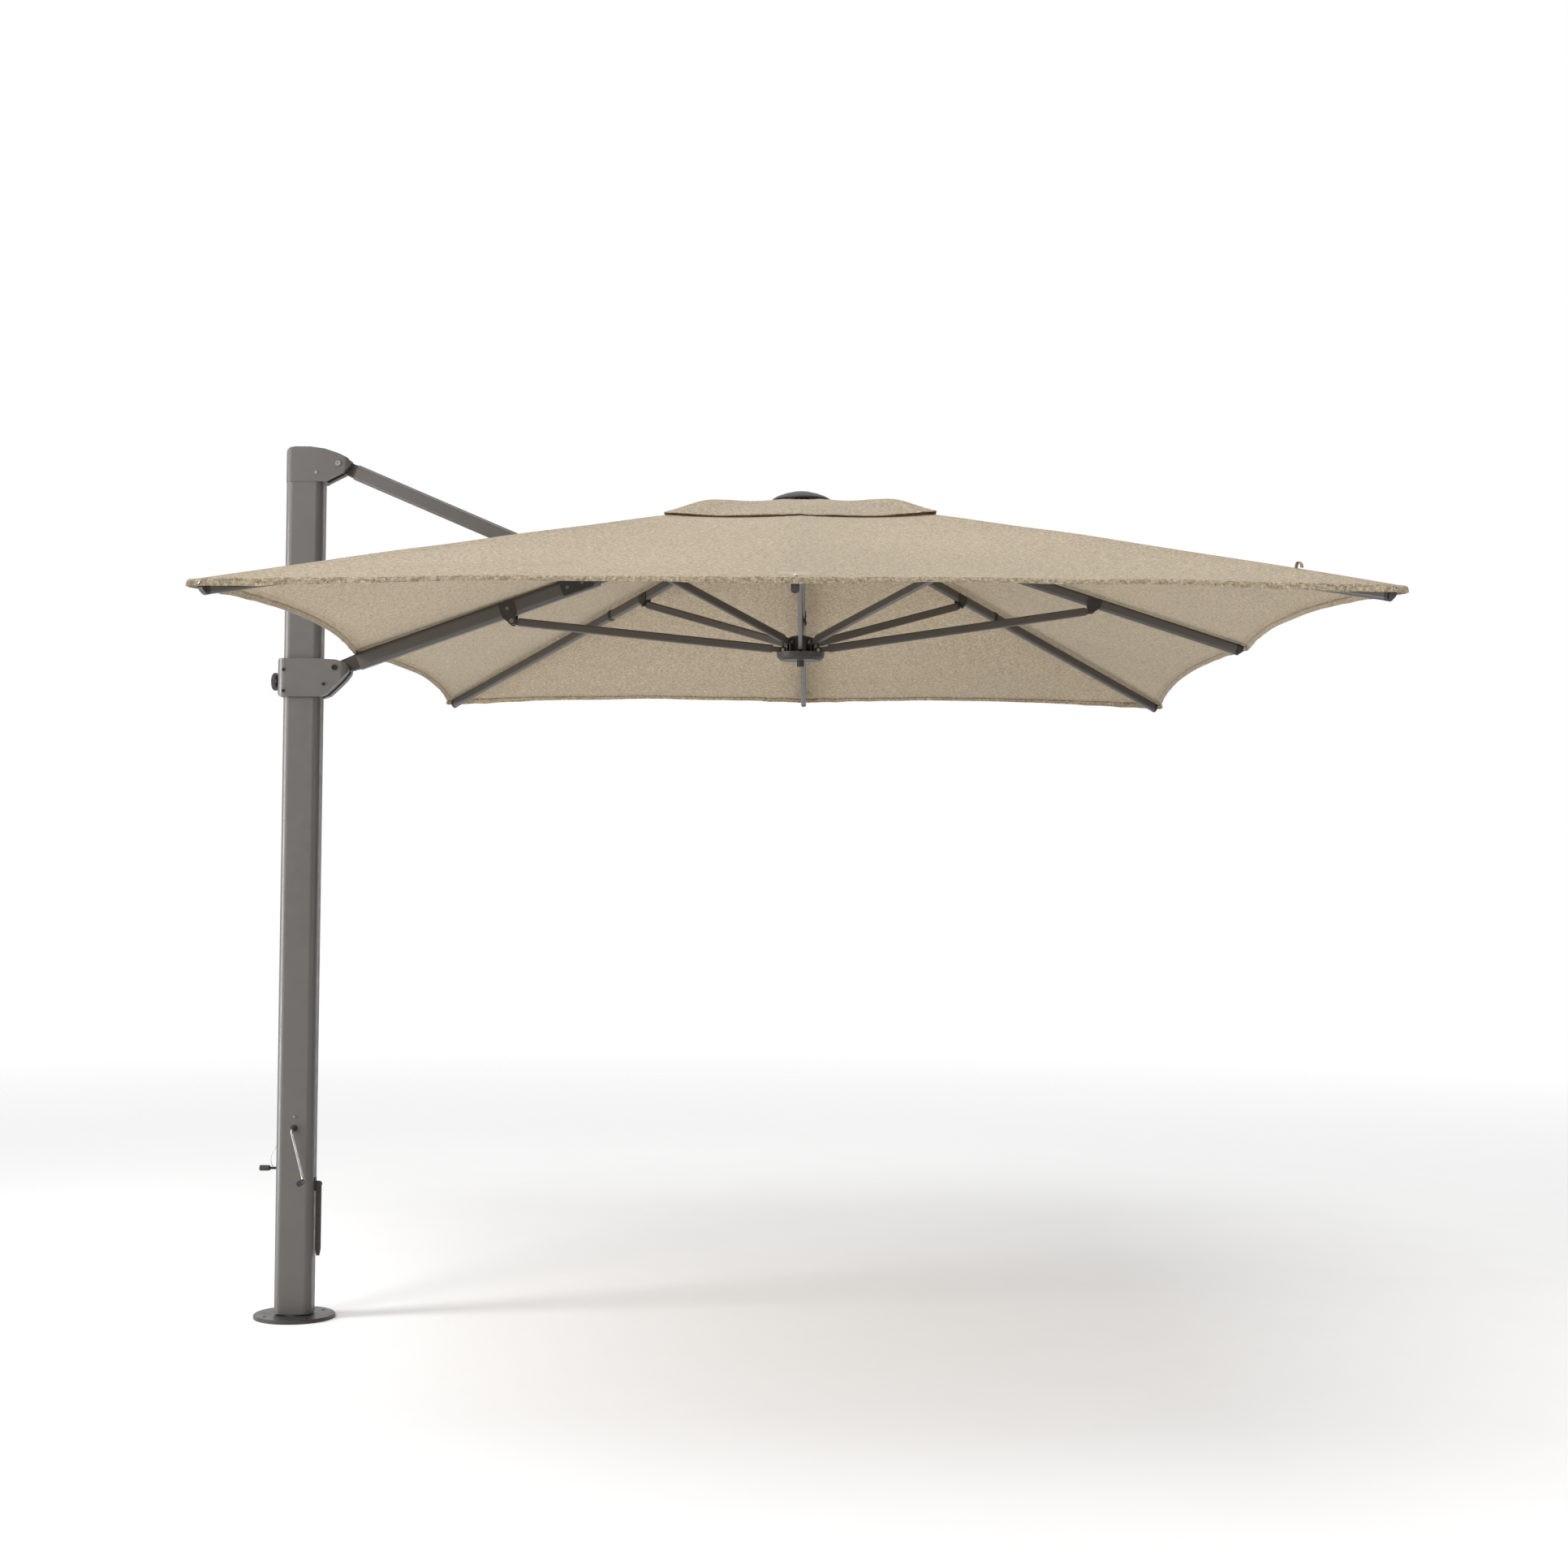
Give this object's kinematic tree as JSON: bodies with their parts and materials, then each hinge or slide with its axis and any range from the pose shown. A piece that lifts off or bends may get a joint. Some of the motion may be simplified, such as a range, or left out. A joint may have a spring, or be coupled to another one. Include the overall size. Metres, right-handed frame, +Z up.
{
  "type": "cantilever parasol",
  "caption": "Rectangular garden parasol hung from a turning side mast: a strut and arm slide down the mast to stow it, and a ribbed canopy folds up around the arm.",
  "frame": {"origin": "centre of the floor plate's underside, on the mast's axis", "axes": "+X from the mast to the canopy's middle, +Z up, -Y the side with the crank"},
  "size_m": [3.3156, 4, 2.925],
  "materials": {
    "frame_paint": "satin, powder coated warm grey",
    "dark_casting": "satin, painted dark grey casting",
    "stretcher_metal": "satin grey anodised",
    "steel": "bright zinc or stainless",
    "chrome_rod": "polished",
    "base_paint": "satin powder coat, dark grey",
    "black_plastic": "moulded, matte",
    "bush_plastic": "moulded, matte",
    "cloth": "woven, heathered beige"
  },
  "bodies": {
    "base": {"base_plate": "base_paint", "mast_spigot": "steel", "thrust_ring": "bush_plastic"},
    "mast": {"mast_tube": "frame_paint", "mast_bushes": "bush_plastic", "mast_head": "frame_paint", "mast_bolts": "steel", "winch_case": "dark_casting", "crank_bush": "black_plastic", "handle_bracket": "dark_casting", "lock_pin_lanyard": "steel"},
    "pulley": {"head_pulley": "bush_plastic"},
    "crank": {"crank_rod": "chrome_rod", "winch_drum": "dark_casting"},
    "grip": {"crank_grip": "black_plastic"},
    "pin": {"lock_pin": "steel", "lock_pin_grip": "black_plastic"},
    "handle": {"turning_handle": "dark_casting"},
    "slider": {"slider_front_shell": "frame_paint", "slider_rear_shell": "frame_paint", "slider_glides": "bush_plastic", "slider_bolts": "steel"},
    "knob": {"clamp_knob": "black_plastic"},
    "strut": {"strut_tube": "frame_paint", "strut_tongues": "dark_casting"},
    "arm": {"arm_tube": "frame_paint", "arm_tongues": "dark_casting", "strut_bracket": "dark_casting", "stretcher_bracket": "dark_casting", "arm_bolts": "steel"},
    "crown": {"crown_hub": "dark_casting", "crown_pins": "steel", "crown_cap": "black_plastic", "canopy": "cloth", "vent_cover": "cloth"},
    "ribs_fl": {"rib_fl": "frame_paint", "rib_fl_fittings": "dark_casting"},
    "ribs_fm": {"rib_fm": "frame_paint", "rib_fm_fittings": "dark_casting"},
    "ribs_fr": {"rib_fr": "frame_paint", "rib_fr_fittings": "dark_casting"},
    "ribs_r": {"rib_r": "frame_paint", "rib_r_fittings": "dark_casting"},
    "ribs_br": {"rib_br": "frame_paint", "rib_br_fittings": "dark_casting"},
    "ribs_bm": {"rib_bm": "frame_paint", "rib_bm_fittings": "dark_casting"},
    "ribs_bl": {"rib_bl": "frame_paint", "rib_bl_fittings": "dark_casting"},
    "stay_fl": {"stretcher_fl": "stretcher_metal"},
    "stay_fm": {"stretcher_fm": "stretcher_metal"},
    "stay_fr": {"stretcher_fr": "stretcher_metal"},
    "stay_r": {"stretcher_r": "stretcher_metal"},
    "stay_br": {"stretcher_br": "stretcher_metal"},
    "stay_bm": {"stretcher_bm": "stretcher_metal"},
    "stay_bl": {"stretcher_bl": "stretcher_metal"},
    "stay_l": {"stretcher_l": "stretcher_metal"},
    "runner": {"runner_hub": "dark_casting", "runner_pins": "steel", "runner_cover": "black_plastic"}
  },
  "joints": [
    {"name": "mast_turn", "type": "hinge", "parent": "base", "child": "mast", "pos_m": [0, 0, 0.3], "axis": [0, 0, 1], "continuous": true},
    {"name": "lift", "type": "hinge", "parent": "mast", "child": "strut", "pos_m": [0.115, 0, 2.868], "axis": [0, 1, 0], "range_deg": [0, 56]},
    {"name": "arm_swing", "type": "hinge", "parent": "strut", "child": "arm", "pos_m": [0.92956, 0, 2.522], "axis": [0, 1, 0], "range_deg": [-112, 0]},
    {"name": "slider_level", "type": "hinge", "parent": "arm", "child": "slider", "pos_m": [0.115, 0, 2.176], "axis": [0, 1, 0], "range_deg": [0, 56]},
    {"name": "fold", "type": "hinge", "parent": "arm", "child": "crown", "pos_m": [1.62, 0, 2.715], "axis": [0, 1, 0], "range_deg": [0, 52.5], "deforming": ["canopy", "vent_cover"]},
    {"name": "rib_fl_fold", "type": "hinge", "parent": "crown", "child": "ribs_fl", "pos_m": [1.644, -0.048, 2.715], "axis": [0.8, -0.6, 0], "range_deg": [0, 69.86]},
    {"name": "rib_fm_fold", "type": "hinge", "parent": "crown", "child": "ribs_fm", "pos_m": [1.68, -0.06, 2.715], "axis": [1, 0, 0], "range_deg": [0, 66.19]},
    {"name": "rib_fr_fold", "type": "hinge", "parent": "crown", "child": "ribs_fr", "pos_m": [1.716, -0.048, 2.715], "axis": [0.8, 0.6, 0], "range_deg": [0, 69.86]},
    {"name": "rib_r_fold", "type": "hinge", "parent": "crown", "child": "ribs_r", "pos_m": [1.74, 0, 2.715], "axis": [0, 1, 0], "range_deg": [0, 60.43]},
    {"name": "rib_br_fold", "type": "hinge", "parent": "crown", "child": "ribs_br", "pos_m": [1.716, 0.048, 2.715], "axis": [-0.8, 0.6, 0], "range_deg": [0, 69.86]},
    {"name": "rib_bm_fold", "type": "hinge", "parent": "crown", "child": "ribs_bm", "pos_m": [1.68, 0.06, 2.715], "axis": [-1, 0, 0], "range_deg": [0, 66.19]},
    {"name": "rib_bl_fold", "type": "hinge", "parent": "crown", "child": "ribs_bl", "pos_m": [1.644, 0.048, 2.715], "axis": [-0.8, -0.6, 0], "range_deg": [0, 69.86]},
    {"name": "stay_fr_fold", "type": "hinge", "parent": "ribs_fr", "child": "stay_fr", "pos_m": [2.265, -0.78, 2.493], "axis": [0.8, 0.6, 0], "range_deg": [-139.73, 0]},
    {"name": "stay_fl_fold", "type": "hinge", "parent": "ribs_fl", "child": "stay_fl", "pos_m": [1.095, -0.78, 2.493], "axis": [0.8, -0.6, 0], "range_deg": [-139.73, 0]},
    {"name": "stay_br_fold", "type": "hinge", "parent": "ribs_br", "child": "stay_br", "pos_m": [2.265, 0.78, 2.493], "axis": [-0.8, 0.6, 0], "range_deg": [-139.73, 0]},
    {"name": "stay_bl_fold", "type": "hinge", "parent": "ribs_bl", "child": "stay_bl", "pos_m": [1.095, 0.78, 2.493], "axis": [-0.8, -0.6, 0], "range_deg": [-139.73, 0]},
    {"name": "runner_level", "type": "hinge", "parent": "stay_fr", "child": "runner", "pos_m": [1.716, -0.048, 2.271], "axis": [0.8, 0.6, 0], "range_deg": [0, 69.86]},
    {"name": "stay_fm_fold", "type": "hinge", "parent": "runner", "child": "stay_fm", "pos_m": [1.68, -0.06, 2.249], "axis": [1, 0, 0], "range_deg": [-70.91, 0]},
    {"name": "stay_r_fold", "type": "hinge", "parent": "runner", "child": "stay_r", "pos_m": [1.74, 0, 2.249], "axis": [0, 1, 0], "range_deg": [-73.18, 0]},
    {"name": "stay_bm_fold", "type": "hinge", "parent": "runner", "child": "stay_bm", "pos_m": [1.68, 0.06, 2.249], "axis": [-1, 0, 0], "range_deg": [-70.91, 0]},
    {"name": "stay_l_fold", "type": "hinge", "parent": "runner", "child": "stay_l", "pos_m": [1.62, 0, 2.249], "axis": [0, -1, 0], "range_deg": [-72.52, 0]},
    {"name": "crank_turn", "type": "hinge", "parent": "mast", "child": "crank", "pos_m": [0, 0, 0.633], "axis": [0, 1, 0], "continuous": true},
    {"name": "pulley_turn", "type": "hinge", "parent": "mast", "child": "pulley", "pos_m": [0.02, 0, 2.862], "axis": [0, 1, 0], "continuous": true},
    {"name": "grip_spin", "type": "hinge", "parent": "crank", "child": "grip", "pos_m": [0.04382, -0.131, 0.46357], "axis": [0, 1, 0], "continuous": true},
    {"name": "pin_pull", "type": "slide", "parent": "mast", "child": "pin", "axis": [-1, 0, 0], "range_m": [0, 0.03]},
    {"name": "handle_out", "type": "hinge", "parent": "mast", "child": "handle", "pos_m": [0.076, 0, 0.443], "axis": [0, -1, 0], "range_deg": [0, 90]},
    {"name": "knob_turn", "type": "hinge", "parent": "slider", "child": "knob", "pos_m": [-0.09, 0, 2.131], "axis": [1, 0, 0], "range_deg": [0, 360]}
  ],
  "couplings": [
    {"joint": "arm_swing", "follows": "lift", "ratio": -2},
    {"joint": "slider_level", "follows": "lift", "ratio": 1},
    {"joint": "rib_fl_fold", "follows": "fold", "ratio": 1.3307},
    {"joint": "rib_fm_fold", "follows": "fold", "ratio": 1.2608},
    {"joint": "rib_fr_fold", "follows": "fold", "ratio": 1.3307},
    {"joint": "rib_r_fold", "follows": "fold", "ratio": 1.1511},
    {"joint": "rib_br_fold", "follows": "fold", "ratio": 1.3307},
    {"joint": "rib_bm_fold", "follows": "fold", "ratio": 1.2608},
    {"joint": "rib_bl_fold", "follows": "fold", "ratio": 1.3307},
    {"joint": "stay_fr_fold", "follows": "fold", "ratio": -2.6614},
    {"joint": "stay_fl_fold", "follows": "fold", "ratio": -2.6614},
    {"joint": "stay_br_fold", "follows": "fold", "ratio": -2.6614},
    {"joint": "stay_bl_fold", "follows": "fold", "ratio": -2.6614},
    {"joint": "runner_level", "follows": "fold", "ratio": 1.3307},
    {"joint": "stay_fm_fold", "follows": "fold", "ratio": -1.3507},
    {"joint": "stay_r_fold", "follows": "fold", "ratio": -1.3939},
    {"joint": "stay_bm_fold", "follows": "fold", "ratio": -1.3507},
    {"joint": "stay_l_fold", "follows": "fold", "ratio": -1.3813},
    {"joint": "pulley_turn", "follows": "crank_turn", "ratio": 0.76923}
  ]
}
